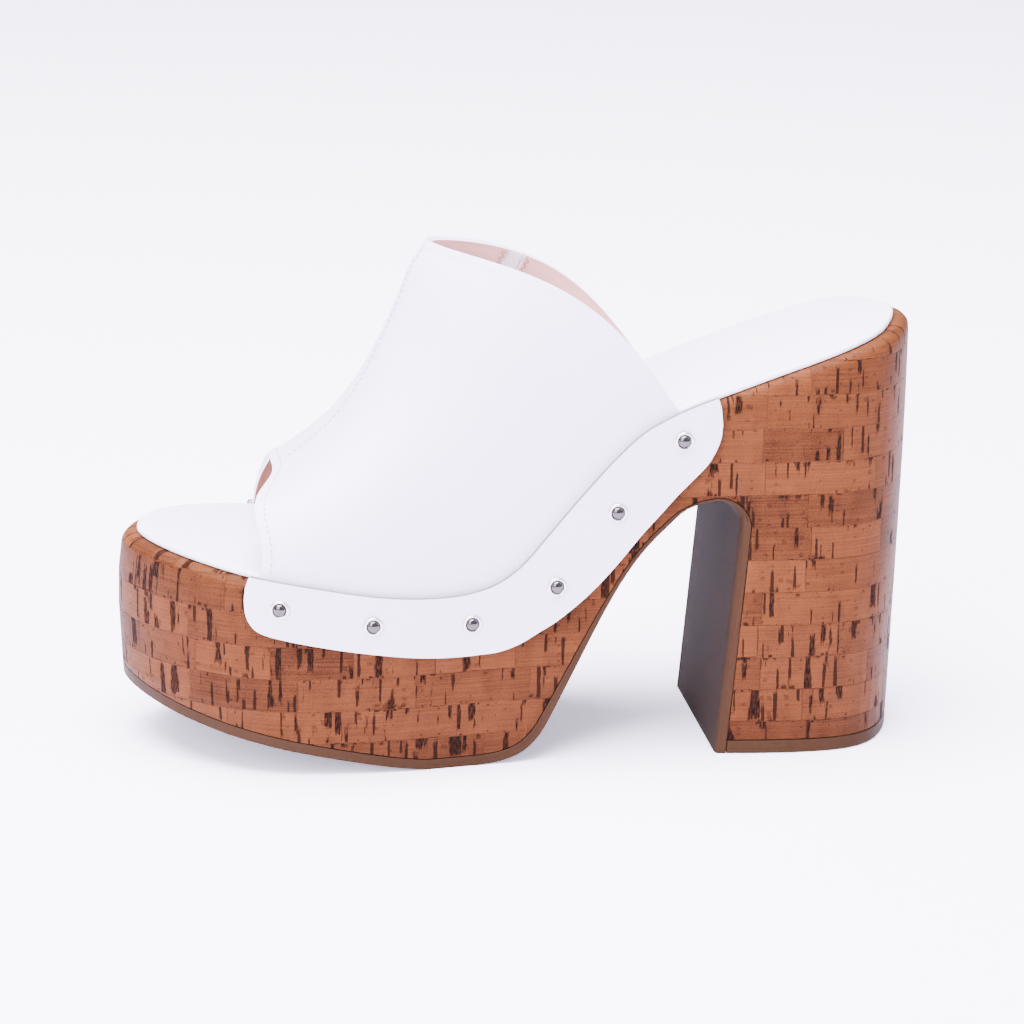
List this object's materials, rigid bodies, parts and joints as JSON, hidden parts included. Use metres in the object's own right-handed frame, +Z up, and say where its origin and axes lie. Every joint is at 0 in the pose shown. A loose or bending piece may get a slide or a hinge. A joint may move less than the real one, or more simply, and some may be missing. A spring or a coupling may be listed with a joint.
{
  "type": "cork platform sandal",
  "caption": "A white leather platform mule for the left foot, with a high block heel and platform wrapped in cork, a band over the instep and studded side strips.",
  "frame": {"origin": "on the floor at the middle of the heel's top lift", "axes": "+X toe, +Y lateral side, +Z up"},
  "size_m": [0.2318, 0.0924, 0.148],
  "materials": {
    "cork": "satin",
    "tan_rubber": "matte",
    "tan_lift": "matte",
    "white_leather_insole": "satin",
    "white_leather": "satin",
    "white_elastic": "matte",
    "white_strip_leather": "satin",
    "polished_metal_lateral": "polished",
    "polished_metal_medial": "polished"
  },
  "bodies": {
    "root": {"cork_unit": "cork", "outsole": "tan_rubber", "top_lift": "tan_lift", "insole": "white_leather_insole", "upper": "white_leather", "gore": "white_elastic", "rand_lateral": "white_strip_leather", "rand_medial": "white_strip_leather", "stud_lateral_1": "polished_metal_lateral", "stud_lateral_2": "polished_metal_lateral", "stud_lateral_3": "polished_metal_lateral", "stud_lateral_4": "polished_metal_lateral", "stud_lateral_5": "polished_metal_lateral", "stud_lateral_6": "polished_metal_lateral", "stud_medial_1": "polished_metal_medial", "stud_medial_2": "polished_metal_medial", "stud_medial_3": "polished_metal_medial", "stud_medial_4": "polished_metal_medial", "stud_medial_5": "polished_metal_medial", "stud_medial_6": "polished_metal_medial"}
  },
  "joints": []
}
